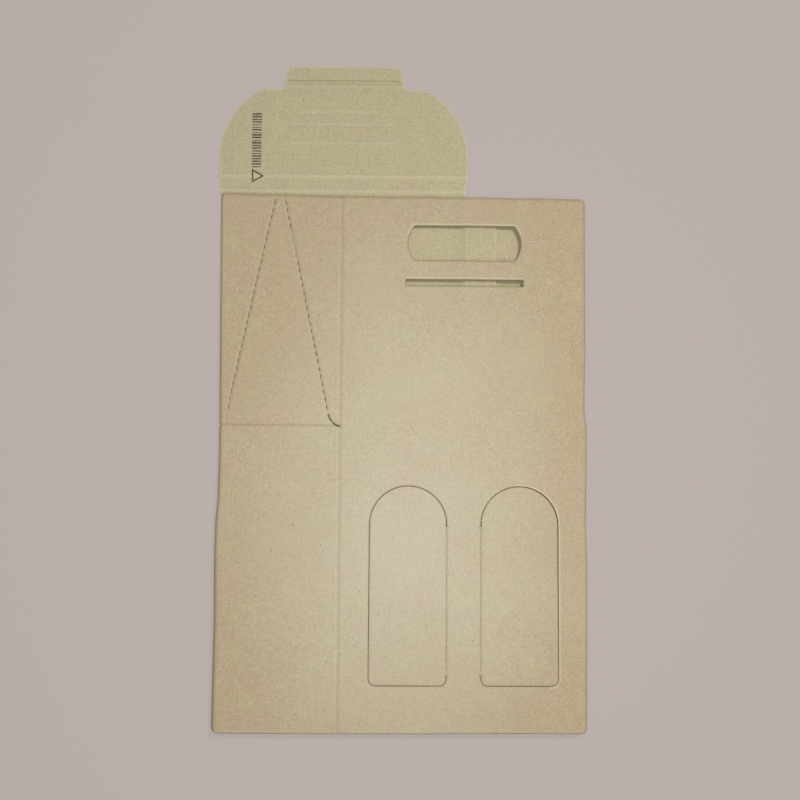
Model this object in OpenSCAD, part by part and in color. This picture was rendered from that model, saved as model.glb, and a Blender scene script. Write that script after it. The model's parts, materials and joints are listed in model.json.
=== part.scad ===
// Gift box for two bottles, folded flat: one die-cut blank of thin corrugated board,
// folded to a flat tube, glued, and lying on its back panel with the lid opened out above it.
// Millimetres. X to the right, Y towards the lid, Z up from the surface that it lies on.

/* [Board] */
// Thickness of the board
board_t = 1.5; // [1.2:0.1:2]
// Space between two layers that lie on each other unglued
layer_gap = 0.2; // [0.1:0.05:0.4]
// Width of the knife cut round a flap, and of the slit left at a folding line
cut_w = 0.3; // [0.2:0.05:0.5]
// Width of a pressed folding line
crease_w = 2.4; // [1.5:0.1:3.5]
// Depth of a pressed folding line
crease_depth = 0.35; // [0.2:0.05:0.5]

/* [Tube] */
// Width of the front panel, from its folding line to the outside of the fold
front_w = 180; // [176:1:220]
// Width of a side panel
side_w = 90; // [84:1:120]
// Height of the four panels
panel_h = 390; // [360:1:450]
// Extra board that a rounded fold takes up
fold_take = 1.4; // [0.5:0.1:3]
// Extra width of the back panel, which carries the glue flap
seam_shift = 1.3; // [0.5:0.1:3]
// Width of the glue flap
glue_flap_w = 23.2; // [15:0.1:26]
// Length over which the glue flap steps up on to the side panel
glue_step = 3; // [2:0.1:5]
// Cut back at the two ends of the glue flap
glue_flap_taper = 8; // [4:0.5:15]
// Space over the glue flap at the open top
mouth_slack = 0.3; // [0.2:0.1:1.5]
// Radius of the bottom corners
corner_r = 3.6; // [2:0.1:5]

/* [Bottom flaps] */
// Length of a wide bottom flap on its glued side
major_flap_h = 48; // [46:1:55]
// Length of a wide bottom flap at its hook
hook_h = 66; // [58:1:80]
// Length of a narrow bottom flap, whose corner is folded over and glued
minor_flap_h = 44; // [38:1:46]
// Space between the folded corner and the flap that it isn't glued to, at the bottom
tab_slack = 0.7; // [0.6:0.1:1.5]
// Width of the notch between two bottom flaps
notch_w = 1; // [0.6:0.1:3]

/* [Side gusset] */
// Distance of the gusset's folding line below the top
gusset_h = 170.4; // [150:0.1:200]
// Length, down the panel, of the two perforated lines
gusset_line_h = 159.5; // [140:0.5:165]
// Distance between the perforated lines at the top
gusset_top_w = 7.5; // [4:0.5:16]
// Distance between the perforated lines at their foot
gusset_foot_w = 73.5; // [60:0.5:76]
// Length of one slit
slit_l = 3; // [2:0.1:4]
// Distance from slit to slit
slit_pitch = 5.7; // [4.5:0.1:8]
// Width of a slit
slit_w = 0.5; // [0.3:0.05:0.8]
// Radius of the curved cut at the foot of a perforated line
foot_cut_r = 11.5; // [9:0.5:14]

/* [Hand hole] */
// Length of the hand hole
hole_w = 83.2; // [75:0.1:95]
// Height of the hand hole
hole_h = 26; // [22:0.1:30]
// Bulge of its two rounded ends
hole_bulge = 4.7; // [3:0.1:8]
// Distance of its top edge below the top of the panel
hole_top = 21.7; // [15:0.1:30]

/* [Tuck slot] */
// Length of the slot
slot_w = 86.5; // [70:0.1:100]
// Height of the slot
slot_h = 4.8; // [4.6:0.1:7]
// Distance of its top edge below the top of the panel
slot_top = 61.8; // [58:0.1:70]

/* [Windows] */
// Width of a window flap
window_w = 56; // [45:0.5:60]
// Height of a window flap, to the top of its arch
window_h = 142.6; // [110:0.5:160]
// Height of its bottom edge above the bottom of the box
window_base = 33.6; // [25:0.5:45]
// Distance between the folding lines of the two window flaps
window_gap = 24.8; // [20:0.2:40]
// Radius of its bottom corners
window_corner_r = 5; // [3:0.5:8]

/* [Lid] */
// Height of the back panel above the front panel
back_rise = 4.7; // [3:0.1:8]
// Width of the lid's spine, which covers the thickness of the closed top
spine_h = 11.6; // [8:0.1:20]
// Height of the lid panel
lid_h = 65.4; // [60:0.1:75]
// Amount by which the lid is wider than the back panel, on each side
lid_overhang = 1.85; // [1:0.05:4]
// Straight part of the lid's sides above its lower folding line
lid_side_h = 13.2; // [8:0.1:15]
// Radius of the lid's two rounded corners
lid_corner_r = 60; // [56:1:66]
// Height of the tuck tab's folding line above the lid's shoulders
tab_rise = 3.3; // [1.5:0.1:5]
// Height of the tuck tab
tab_h = 14.3; // [11:0.1:18]
// Overlap of the tuck tab beyond each end of its slot, by which it snaps in
tab_bite = 1.3; // [0.5:0.1:3]
// Radius of the tuck tab's corners
tab_corner_r = 5; // [3:0.5:8]
// Length of the two lines pressed into the lid
mark_w = 74.7; // [60:0.5:80]
// Distance of the raised line above the lid's lower folding line
ridge_y = 38.2; // [36:0.1:42]
// Distance of the sunk line above the lid's lower folding line
groove_y = 25.2; // [20:0.1:30]
// Height of the raised line
ridge_rise = 0.4; // [0.2:0.05:0.6]

/* [Hidden] */
$fn = 72;

outer_face = [0.76, 0.71, 0.61];
inner_face = [0.71, 0.66, 0.53];

// Amount by which a cutting shape reaches past the surface that it cuts
past = 1;

// Places across the tube, from its middle line
half_w = (front_w + side_w) / 2;
front_crease = side_w - half_w;
back_crease = front_w + seam_shift - half_w;
front_mid = front_crease + (front_w + fold_take) / 2;
back_mid = (back_crease - half_w) / 2;
left_side_mid = front_crease - (side_w + fold_take) / 2;
right_side_mid = (back_crease + half_w + fold_take) / 2;
step_x = back_crease - glue_step / 2;
flap_x = back_crease + glue_step / 2;
glue_edge = back_crease + glue_flap_w;
lid_w = half_w + back_crease + 2 * lid_overhang;
lid_left = back_mid - lid_w / 2;

// Places up the back panel and the lid, from the bottom edge
spine_crease = panel_h + back_rise;
lid_crease = spine_crease + spine_h;
tab_crease = lid_crease + lid_h + tab_rise;
whole_h = tab_crease + tab_h;
gusset_y = panel_h - gusset_h;

// The middle of the whole outline, which stands over the origin
centre_x = (lid_left + half_w) / 2;
centre_y = whole_h / 2;

// Five layers lie on each other at the bottom, three at the open top, so the front is tilted
bottom_h = 5 * board_t + 2 * layer_gap + tab_slack;
mouth_h = 3 * board_t + mouth_slack;
tilt = asin((bottom_h - mouth_h) / panel_h);
// Outer radius of a flap folded flat against its panel
bend_r = board_t + layer_gap / 2;
// Shift that brings the tilted front panel's bottom fold over the back panel's
front_shift = bend_r * sin(tilt);

// The two side folds are half cones that touch the floor, the front panel and the tube's side
fold_slope = tan(tilt / 2);
fold_r = bottom_h / (1 + 1 / cos(tilt));
fold_turn = atan(fold_slope);
fold_dip = asin(fold_slope / sqrt(1 + 2 * pow(fold_slope, 2)));
fold_end = half_w - fold_r;
// Ends of the bottom flaps, and of the narrow feet that stay between them and the side folds
flap_end = fold_end - 0.5;
foot_end = fold_end - 0.25;
// Height of a panel's cut bottom edge, where it has no flap
raw_edge = 0.4 * bend_r;
// Slant of a bottom flap's free side, and the distance of its hook from the middle of its panel
flap_slant = 6;
hook_set = 14;
// Slanted corner of a wide flap, across and up
flap_corner = [5, 8];
// Distance of the folded corners from the bottom fold, and of their slanting fold from the edge
corner_inset = 2;
slant_inset = 1;
// Narrow flaps' free sides, clear of the glue flap on the right and of the front flap on the left
right_free_side = glue_edge + 2.5;
left_free_side = notch_w / 2 - front_crease;

// Where the flat board meets the side fold, at a height up the tube
function fold_x(y) = fold_end + y * fold_slope;

// Angle that one of the two curved cuts at a gusset's foot turns through
foot_sweep = 28;

hole_end_r = (pow(hole_h / 2, 2) + pow(hole_bulge, 2)) / (2 * hole_bulge);
window_x = (window_gap + window_w) / 2;
tab_w = slot_w + 2 * tab_bite;

// Moves a shape from the middle of the tube's bottom edge to the part's own origin
module in_place() {
    translate([-centre_x, -centre_y, 0]) children();
}

// Puts a shape on the tilted front layer, whose outer face is at board_t
module on_front() {
    translate([0, front_shift, bottom_h])
        rotate([-tilt, 0, 0])
            translate([0, 0, -board_t]) children();
}

// A flat piece of board, from its outline
module board(lower = 0) {
    translate([0, 0, lower]) linear_extrude(board_t) children();
}

// A cutting shape that goes through one layer of board
module through() {
    translate([0, 0, -layer_gap / 2]) linear_extrude(board_t + layer_gap / 2 + past) children();
}

// The wedge that a pressed line takes out of a face at height zero, along X from the origin
module pressed_line(length) {
    rotate([90, 0, 90])
        linear_extrude(length)
            polygon([[-crease_w / 2, 0], [0, -crease_depth], [crease_w / 2, 0],
                     [crease_w / 2, past], [-crease_w / 2, past]]);
}

// A pressed folding line right across the lid, at a height up the blank
module lid_line(y) {
    translate([lid_left - past, y, board_t]) pressed_line(lid_w + 2 * past);
}

// One side fold as a solid cone, shrunk by the given depth, at the left of the tube
module fold_cone(depth) {
    spare = 10;
    length = panel_h + 2 * spare;
    start_r = fold_r - depth + spare * fold_slope;
    end_r = start_r - length * fold_slope;
    along = sqrt(1 + 2 * pow(fold_slope, 2));
    translate([fold_r - half_w + spare * fold_slope, -spare, fold_r + spare * fold_slope])
        rotate([0, 0, fold_turn])
            rotate([-90 - fold_dip, 0, 0])
                cylinder(h = length * along, r1 = start_r / cos(fold_dip),
                         r2 = end_r / cos(fold_dip));
}

// Plan of the left side fold, outside the upright plane through its axis
module fold_plan() {
    polygon([[-half_w - past, 0], [-fold_x(0), 0], [-fold_x(panel_h), panel_h], [-half_w - past, panel_h]]);
}

// Rounds the tube's two bottom corners
module corner_cut() {
    translate([-half_w - past, -past, -past])
        linear_extrude(bottom_h + 2 * past)
            difference() {
                square(corner_r + past);
                translate([corner_r + past, corner_r + past]) circle(corner_r);
            }
}

module side_fold() {
    difference() {
        intersection() {
            fold_cone(0);
            translate([0, 0, -past]) linear_extrude(bottom_h + 2 * past) fold_plan();
        }
        fold_cone(board_t);
        corner_cut();
    }
}

module hand_hole() {
    end_x = hole_w / 2 - hole_end_r;
    intersection() {
        square([hole_w, hole_h], center = true);
        union() {
            square([2 * end_x, hole_h], center = true);
            translate([-end_x, 0]) circle(hole_end_r);
            translate([end_x, 0]) circle(hole_end_r);
        }
    }
}

// Arched window, made larger or smaller by the given margin
module window(margin) {
    half = window_w / 2 + margin;
    r = window_corner_r + margin;
    low = window_base - margin;
    spring = window_base + window_h - window_w / 2;
    translate([0, spring]) circle(half);
    translate([-half, low + r]) square([2 * half, spring - low - r]);
    translate([r - half, low]) square([2 * (half - r), 2 * r]);
    translate([r - half, low + r]) circle(r);
    translate([half - r, low + r]) circle(r);
}

// One perforated line and its curved foot, on the right of the gusset's middle line
module perforation() {
    foot = [gusset_foot_w / 2, panel_h - gusset_line_h];
    run = [(gusset_foot_w - gusset_top_w) / 2, -gusset_line_h];
    length = norm(run);
    lean = atan2(run[1], run[0]);
    for (i = [0 : floor(length / slit_pitch) - 1])
        translate(foot - run * ((i + 0.5) * slit_pitch / length))
            rotate(lean) square([slit_l, slit_w], center = true);
    foot_start = foot + run * (slit_pitch - slit_l) / length;
    foot_centre = foot_start + foot_cut_r * [-run[1], run[0]] / length;
    for (i = [0, 1])
        translate(foot_centre) rotate(lean - 90 + i * 1.2 * foot_sweep) foot_cut();
}

// One of the two short curved cuts at the foot of a perforated line
module foot_cut() {
    reach = 2 * foot_cut_r;
    intersection() {
        difference() {
            circle(foot_cut_r + slit_w / 2);
            circle(foot_cut_r - slit_w / 2);
        }
        polygon([[0, 0], [reach, 0], [reach * cos(foot_sweep), reach * sin(foot_sweep)]]);
    }
}

// The slits of the left side panel's gusset, through the front layer and the top of the fold
module front_gusset_slits() {
    on_front()
        through()
            for (side = [0, 1])
                translate([left_side_mid, 0]) mirror([side, 0]) perforation();
}

// The slits of the right side panel's gusset, through the back layer and the foot of the fold
module back_gusset_slits() {
    translate([0, 0, -past])
        linear_extrude(board_t + past)
            for (side = [0, 1])
                translate([right_side_mid, 0]) mirror([side, 0]) perforation();
}

// Plans of the bottom flaps, folded up inside the tube
module front_flap() {
    left = front_crease + notch_w / 2;
    polygon([[left, bend_r], [left + flap_slant, hook_h], [front_mid - hook_set, hook_h],
             [front_mid, major_flap_h], [flap_end - flap_corner[0], major_flap_h],
             [flap_end, major_flap_h - flap_corner[1]], [flap_end, bend_r]]);
}

module back_flap() {
    right = step_x - notch_w / 2;
    polygon([[right, bend_r], [right - flap_slant, hook_h], [back_mid + hook_set, hook_h],
             [back_mid, major_flap_h], [flap_corner[0] - flap_end, major_flap_h],
             [-flap_end, major_flap_h - flap_corner[1]], [-flap_end, bend_r]]);
}

// A narrow flap, from its free side to its slanting fold, with the fold towards plus X
module narrow_flap(free_side) {
    polygon([[free_side, bend_r], [flap_end, bend_r], [flap_end - minor_flap_h + bend_r, minor_flap_h],
             [free_side + flap_slant, minor_flap_h], [free_side, minor_flap_h / 2]]);
}

// The corner of a narrow flap that is folded over, under or on the flap itself
module folded_corner() {
    low = bend_r + corner_inset;
    reach = minor_flap_h - bend_r;
    polygon([[flap_end - corner_inset, low], [flap_end - reach, low], [flap_end - reach, minor_flap_h]]);
}

// The slanting fold between a narrow flap and its folded corner, just inside their edge
module corner_fold() {
    start = corner_inset + slant_inset;
    low = [flap_end - start - slant_inset, bend_r + start];
    run = minor_flap_h - bend_r - start - corner_inset;
    high = low + [-run, run];
    across = [-board_t, -board_t] / sqrt(2);
    polygon([low, high, high + across, low + across]);
}

// A half-round bend along X between a panel and its flap, on the given stretch
module bottom_bend(from, to, axis_z) {
    length = to - from;
    reach = bend_r + past;
    translate([from, bend_r, axis_z])
        rotate([90, 0, 90])
            difference() {
                cylinder(h = length, r = bend_r);
                translate([0, 0, -past]) cylinder(h = length + 2 * past, r = layer_gap / 2);
                translate([0, -reach, -past]) cube([reach, 2 * reach, length + 2 * past]);
            }
}

module back_layer() {
    strip_top = spine_crease - cut_w / 2;
    difference() {
        union() {
            // Back panel, with the strip above the front panel that carries the lid
            board() polygon([[-fold_x(0), 0], [-foot_end, 0], [-foot_end, bend_r], [step_x, bend_r],
                             [step_x, panel_h], [-fold_x(panel_h), panel_h]]);
            board() polygon([[-half_w, panel_h], [back_crease, panel_h],
                             [back_crease, strip_top], [-half_w, strip_top]]);
            // Glue flap, which steps up on to the side panel
            translate([0, panel_h, 0])
                rotate([90, 0, 0])
                    linear_extrude(panel_h - bend_r)
                        polygon([[step_x, 0], [flap_x, board_t], [flap_x, 2 * board_t], [step_x, board_t]]);
            board(board_t) polygon([[flap_x, bend_r], [glue_edge, bend_r + glue_flap_taper],
                                    [glue_edge, panel_h - glue_flap_taper], [flap_x, panel_h]]);
            // Right side panel
            board() polygon([[flap_x + cut_w, raw_edge], [right_free_side - notch_w, raw_edge],
                             [right_free_side - notch_w, bend_r], [foot_end, bend_r], [foot_end, 0],
                             [fold_x(0), 0], [fold_x(panel_h), panel_h], [flap_x + cut_w, panel_h]]);
        }
        translate([back_mid, panel_h - hole_top - hole_h / 2, -past])
            linear_extrude(2 * board_t + 2 * past) hand_hole();
        back_gusset_slits();
        translate([flap_x, gusset_y, 0]) rotate([180, 0, 0]) pressed_line(half_w - flap_x + past);
        lid_line(spine_crease);
    }
    // Back flap and right narrow flap, folded up inside
    board(board_t + layer_gap) back_flap();
    bottom_bend(-flap_end, step_x - notch_w / 2, bend_r);
    board(board_t + layer_gap) narrow_flap(right_free_side);
    bottom_bend(right_free_side, flap_end, bend_r);
    translate([0, 0, board_t + layer_gap])
        linear_extrude(board_t + tab_slack + board_t / 2) corner_fold();
    // Folded corner of the left narrow flap, glued on the back flap
    mirror([1, 0, 0]) board(2 * board_t + layer_gap) folded_corner();
}

module front_layer() {
    under = -board_t - layer_gap;
    difference() {
        intersection() {
            on_front() translate([-half_w, -past, 0]) cube([2 * half_w, panel_h + 2 * past, board_t]);
            translate([0, 0, -past])
                linear_extrude(bottom_h + 2 * past)
                    polygon([[-fold_x(0), 0], [-foot_end, 0], [-foot_end, bend_r], [foot_end, bend_r],
                             [foot_end, 0], [fold_x(0), 0], [fold_x(panel_h), panel_h],
                             [-fold_x(panel_h), panel_h]]);
        }
        on_front() {
            translate([front_mid, panel_h - hole_top - hole_h / 2]) through() hand_hole();
            translate([front_mid, panel_h - slot_top - slot_h / 2])
                through() square([slot_w, slot_h], center = true);
            translate([front_mid - window_x, 0]) through() window(cut_w / 2);
            translate([front_mid + window_x, 0]) through() window(cut_w / 2);
            translate([-half_w - past, gusset_y, board_t]) pressed_line(side_w + past);
            translate([front_crease, 0, board_t]) rotate(90) pressed_line(panel_h + past);
        }
        front_gusset_slits();
    }
    // Front flap and left narrow flap, folded down inside
    on_front() {
        board(under) front_flap();
        bottom_bend(front_crease + notch_w / 2, flap_end, board_t - bend_r);
        mirror([1, 0, 0]) {
            board(under) narrow_flap(left_free_side);
            bottom_bend(left_free_side, flap_end, board_t - bend_r);
        }
        // Folded corner of the right narrow flap, glued under the front flap
        board(under - board_t) folded_corner();
    }
    mirror([1, 0, 0])
        translate([0, 0, 2 * board_t + layer_gap + board_t / 2])
            linear_extrude(board_t + tab_slack) corner_fold();
}

module box_body() {
    color(outer_face)
        in_place()
            union() {
                back_layer();
                front_layer();
                difference() {
                    side_fold();
                    front_gusset_slits();
                }
                difference() {
                    mirror([1, 0, 0]) side_fold();
                    back_gusset_slits();
                }
            }
}

module lid_spine() {
    color(inner_face)
        in_place()
            difference() {
                board() polygon([[-half_w, spine_crease + cut_w / 2], [back_crease, spine_crease + cut_w / 2],
                                 [back_mid + lid_w / 2, lid_crease - cut_w / 2],
                                 [lid_left, lid_crease - cut_w / 2]]);
                lid_line(spine_crease);
                lid_line(lid_crease);
            }
}

// The corner that is left outside the lid's rounding, on its right
module lid_corner() {
    translate([lid_w / 2 - lid_corner_r, lid_side_h])
        difference() {
            square(lid_corner_r + past);
            circle(lid_corner_r);
        }
}

module lid_panel() {
    ridge_r = (pow(crease_w / 2, 2) + pow(ridge_rise, 2)) / (2 * ridge_rise);
    color(inner_face)
        in_place()
            difference() {
                union() {
                    translate([back_mid, lid_crease, 0])
                        board()
                            difference() {
                                union() {
                                    translate([-lid_w / 2, cut_w / 2]) square([lid_w, lid_h - cut_w / 2]);
                                    // Neck that carries the tuck tab
                                    translate([-tab_w / 2, lid_side_h])
                                        square([tab_w, lid_h + tab_rise - lid_side_h - cut_w / 2]);
                                }
                                lid_corner();
                                mirror([1, 0]) lid_corner();
                            }
                    // Raised line
                    translate([back_mid - mark_w / 2, lid_crease + ridge_y, 0])
                        intersection() {
                            translate([0, 0, board_t + ridge_rise - ridge_r])
                                rotate([0, 90, 0]) cylinder(h = mark_w, r = ridge_r);
                            translate([0, -crease_w, board_t / 2]) cube([mark_w, 2 * crease_w, board_t]);
                        }
                }
                lid_line(lid_crease);
                lid_line(tab_crease);
                // Sunk line
                translate([back_mid - mark_w / 2, lid_crease + groove_y, board_t]) pressed_line(mark_w);
            }
}

module tuck_tab() {
    straight = tab_w - 2 * tab_corner_r;
    color(inner_face)
        in_place()
            difference() {
                translate([back_mid, tab_crease, 0])
                    board() {
                        translate([-tab_w / 2, cut_w / 2]) square([tab_w, tab_h - tab_corner_r - cut_w / 2]);
                        translate([-straight / 2, tab_corner_r]) square([straight, tab_h - tab_corner_r]);
                        translate([-straight / 2, tab_h - tab_corner_r]) circle(tab_corner_r);
                        translate([straight / 2, tab_h - tab_corner_r]) circle(tab_corner_r);
                    }
                lid_line(tab_crease);
            }
}

module window_flap_left() {
    color(outer_face)
        in_place() on_front() translate([front_mid - window_x, 0]) board() window(-cut_w / 2);
}

module window_flap_right() {
    color(outer_face)
        in_place() on_front() translate([front_mid + window_x, 0]) board() window(-cut_w / 2);
}

box_body();
lid_spine();
lid_panel();
tuck_tab();
window_flap_left();
window_flap_right();
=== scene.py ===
"""Two-bottle gift box of corrugated kraft board, folded flat, with its lid opened out above it.

Its visible surface is one die-cut blank, drawn flat in millimetres and then folded up round the frame.
"""

import json
import math

import bpy
import numpy as np
from mathutils import Matrix, Vector, geometry, kdtree


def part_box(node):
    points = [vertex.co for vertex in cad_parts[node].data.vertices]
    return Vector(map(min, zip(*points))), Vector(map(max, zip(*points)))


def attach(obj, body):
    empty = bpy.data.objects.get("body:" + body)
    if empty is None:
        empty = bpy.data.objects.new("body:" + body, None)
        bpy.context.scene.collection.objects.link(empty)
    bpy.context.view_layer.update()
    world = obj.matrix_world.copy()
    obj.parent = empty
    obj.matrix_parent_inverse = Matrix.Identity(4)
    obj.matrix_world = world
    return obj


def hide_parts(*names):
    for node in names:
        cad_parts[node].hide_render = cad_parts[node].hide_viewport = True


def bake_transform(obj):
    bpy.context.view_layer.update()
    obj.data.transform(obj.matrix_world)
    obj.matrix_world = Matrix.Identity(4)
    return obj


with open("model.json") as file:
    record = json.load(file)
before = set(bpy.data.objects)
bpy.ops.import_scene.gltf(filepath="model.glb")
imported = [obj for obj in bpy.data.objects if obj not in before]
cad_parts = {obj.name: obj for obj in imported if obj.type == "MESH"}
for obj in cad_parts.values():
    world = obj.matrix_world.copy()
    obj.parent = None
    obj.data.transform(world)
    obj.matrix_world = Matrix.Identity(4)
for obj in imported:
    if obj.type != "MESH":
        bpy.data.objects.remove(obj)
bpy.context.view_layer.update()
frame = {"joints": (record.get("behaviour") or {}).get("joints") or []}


# The stand: a plain pale table, photographed from above with a medium lens, a little off square. A
# large soft lamp past the lid, to the right, makes cut edges throw short shadows towards the bottom of
# the box. A weak strip lamp over the panels and an even white sky fill the rest.
mm = 0.001
eye = Vector((-5.80, -69.38, 880.84)) * mm
turn_z, turn_x, turn_y = (math.radians(angle) for angle in (0.439, 4.153, -0.394))

camera = bpy.data.objects.new("camera", bpy.data.cameras.new("camera"))
camera.data.sensor_width = 36
camera.data.lens = 54
camera.matrix_world = (Matrix.Translation(eye) @ Matrix.Rotation(turn_z, 4, "Z")
                       @ Matrix.Rotation(turn_x, 4, "X") @ Matrix.Rotation(turn_y, 4, "Y"))
bpy.context.scene.collection.objects.link(camera)
bpy.context.scene.camera = camera


def aim_lamp(name, place, target, size, power):
    """A soft rectangular lamp at a place in metres, turned to a target, which the camera doesn't see."""
    lamp = bpy.data.objects.new(name, bpy.data.lights.new(name, "AREA"))
    lamp.data.shape = "RECTANGLE"
    lamp.data.size, lamp.data.size_y = size
    lamp.data.energy = power
    lamp.location = place
    lamp.rotation_euler = (Vector(target) - Vector(place)).to_track_quat("-Z", "Y").to_euler()
    lamp.visible_camera = False
    bpy.context.scene.collection.objects.link(lamp)


aim_lamp("window_lamp", (1.6, 1.7, 3.2), (0, 0, 0), (1.0, 1.0), 84)
aim_lamp("strip_lamp", (0.03, -0.08, 0.5), (0.03, -0.08, 0), (0.12, 0.4), 1.1)

bpy.context.scene.world = bpy.data.worlds.new("studio")
bpy.context.scene.world.use_nodes = True
sky = bpy.context.scene.world.node_tree.nodes["Background"]
sky.inputs["Color"].default_value = (1, 1, 1, 1)
sky.inputs["Strength"].default_value = 0.24
bpy.context.scene.view_settings.view_transform = "Standard"


def paint(hex_code):
    """An sRGB hex colour as the linear colour that a shader takes."""
    values = [int(hex_code[i:i + 2], 16) / 255 for i in (1, 3, 5)]
    return (*[v / 12.92 if v <= 0.04045 else ((v + 0.055) / 1.055) ** 2.4 for v in values], 1)


def put(tree, kind, inputs={}, **settings):
    """Adds a node with its settings, and sets or links its inputs; a node gives its first output."""
    node = tree.nodes.new(kind)
    for key, value in settings.items():
        setattr(node, key, value)
    for key, value in inputs.items():
        value = value.outputs[0] if isinstance(value, bpy.types.Node) else value
        if isinstance(value, bpy.types.NodeSocket):
            tree.links.new(value, node.inputs[key])
        else:
            node.inputs[key].default_value = value
    return node


def table_paint(hex_code, flat_share):
    """Matt painted board; the camera sees part of its colour unlit, so that the background stays even."""
    material = bpy.data.materials.new("painted_table")
    material.use_nodes = True
    tree = material.node_tree
    shader = tree.nodes["Principled BSDF"]
    shader.inputs["Base Color"].default_value = paint(hex_code)
    shader.inputs["Roughness"].default_value = 0.95
    shader.inputs["Specular IOR Level"].default_value = 0.1
    even = put(tree, "ShaderNodeEmission", {"Color": paint(hex_code), "Strength": 1.0})
    seen = put(tree, "ShaderNodeLightPath").outputs["Is Camera Ray"]
    seen = put(tree, "ShaderNodeMath", {0: seen, 1: flat_share}, operation="MULTIPLY")
    mixed = put(tree, "ShaderNodeMixShader", {0: seen, 1: shader, 2: even})
    tree.links.new(mixed.outputs[0], tree.nodes["Material Output"].inputs["Surface"])
    return material


table = bpy.data.objects.new("table", bpy.data.meshes.new("table"))
table_reach, table_z = 6, -0.1 * mm
corners = ((-1, -1), (1, -1), (1, 1), (-1, 1))
table.data.from_pydata([(i * table_reach, j * table_reach, table_z) for i, j in corners], [], [(0, 1, 2, 3)])
table.data.materials.append(table_paint("#BBB0AC", 0.8))
bpy.context.scene.collection.objects.link(table)


# The blank: one sheet of thin corrugated board, two kraft liners on a fluted middle, cut and creased
# in a die while it lies flat. Its sizes are in millimetres, across it from the middle of the front
# layer and up it from the bottom edge, and most of them are read from the frame that it has to fit.
def blank_place(point):
    """A point of the frame, in metres, as millimetres from the middle of the box's bottom edge."""
    return Vector(point) / mm - Vector((middle_x, bottom_y, 0))


joints = {joint["name"]: joint for joint in frame["joints"]}
tube_low, tube_high = (Vector(corner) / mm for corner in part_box("box_body"))
middle_x = (tube_low.x + tube_high.x) / 2
bottom_y = tube_low.y
half_w = (tube_high.x - tube_low.x) / 2
bottom_h = tube_high.z

board_t = joints["spine_fold"]["pos_m"][2] / mm
liner_t = 0.24
layer_gap = 0.2
panel_h = 390
front_crease = -45
back_crease = 46.3
spine_crease = blank_place(joints["spine_fold"]["pos_m"]).y
lid_crease = blank_place(joints["lid_fold"]["pos_m"]).y
tab_crease = blank_place(joints["tab_fold"]["pos_m"]).y

# Side folds, which are half cones because the folded box is thicker at its bottom
tilt = math.asin(-joints["left_window_fold"]["axis"][2])
fold_slope = math.tan(tilt / 2)
fold_end = half_w - bottom_h / (1 + 1 / math.cos(tilt))
corner_r, top_left_r, top_right_r = 3.6, 1.0, 2.6
# The side folds aren't straight, because the gussets let them spring: heights, and how far right the
# fold lies there. The bow fades out towards the middle of the panel.
left_bow = ([0, 75, 128, 150, 165, 195, 222, 240, 300, panel_h],
            [-0.2, 0.5, -0.1, 0.3, 1.6, 2.0, 2.0, 1.7, 1.1, 0.2])
right_bow = ([0, 120, 150, 195, 221, 232, 246, 275, panel_h],
             [0, 0.6, -0.3, 0.6, 0.6, -0.9, -0.8, 0, 0])
bow_reach = 12
# The front layer has slid a little on the back: places across it, and how far up its two ends lie
slip_x = [-135, -110, -60, -43, 20, 50, 100, 134]
top_slip = [1.8, 1.3, 0.4, 0.1, 0.1, 0, -0.4, -0.9]
bottom_slip = [-1.2, -1.3, -1.3, -1.2, -1.0, -0.5, -0.3, -0.3]

# Bottom flaps, which fold up inside with a small round bend
bend_r = board_t + layer_gap / 2
bend_mid = bend_r - board_t / 2
bend_length = math.pi * bend_mid
flap_gap = 0.25
flap_end = fold_end - flap_gap
raw_bend = 1.1
bend_heights = bend_r - bend_mid * np.linspace(0, math.pi, 9)
right_free_side = 72
corner_line = flap_end + bend_r

# Glue flap, which steps up on to the inside of the right side panel in a soft ramp
glue_step, glue_ramp = 3, 7.5
flap_x = back_crease + glue_step / 2
glue_edge = back_crease + 23.2


def fold_start(up):
    """Distance from the middle at which the flat front layer turns into a side fold."""
    return fold_end + np.clip(up, 0, panel_h) * fold_slope


def tube_reach(up):
    """Distance along the blank from the middle of the front to the middle of the back, either way."""
    start = fold_start(up)
    return 2 * start + math.pi * (half_w - start - board_t / 2)


def under(across, up, side=-1):
    """Where a point of the back layer lies on the flat blank; side 1 is for the right side panel."""
    return side * (tube_reach(up) - side * across)


def on_back(path):
    """Takes a path on the back layer or the lid to the flat blank."""
    return [(under(x, y), y) for x, y in path]


def flap_up(height):
    """Turns a bottom flap point's height once folded in to its height on the flat blank, or back."""
    return 2 * bend_r - bend_length - height


def ease(share):
    """Runs smoothly from 0 to 1 as its share does."""
    share = np.clip(share, 0, 1)
    return share * share * (3 - 2 * share)


def swell(x, y):
    """Slow waves of the front layer, because damp board never dries quite flat."""
    waves = (np.sin(x / 41 + 0.8) * np.sin(y / 63 + 0.5) + 0.6 * np.sin(x / 23 - y / 57 + 2.1)
             + 0.35 * np.sin(x / 71 + y / 29))
    edges = ease((half_w - 4 - np.abs(x)) / 30) * ease((y - 2) / 24) * ease((panel_h - y) / 60 + 0.25)
    return 0.13 * (waves + 1.9) * edges


def sag(x, y):
    """How far the front layer sinks at the open top, left of the glue flap, where nothing holds it up."""
    return 0.8 * ease((x + 115) / 60) * ease((flap_x - 2 - x) / 14) * ease((y - 250) / 90)


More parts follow.
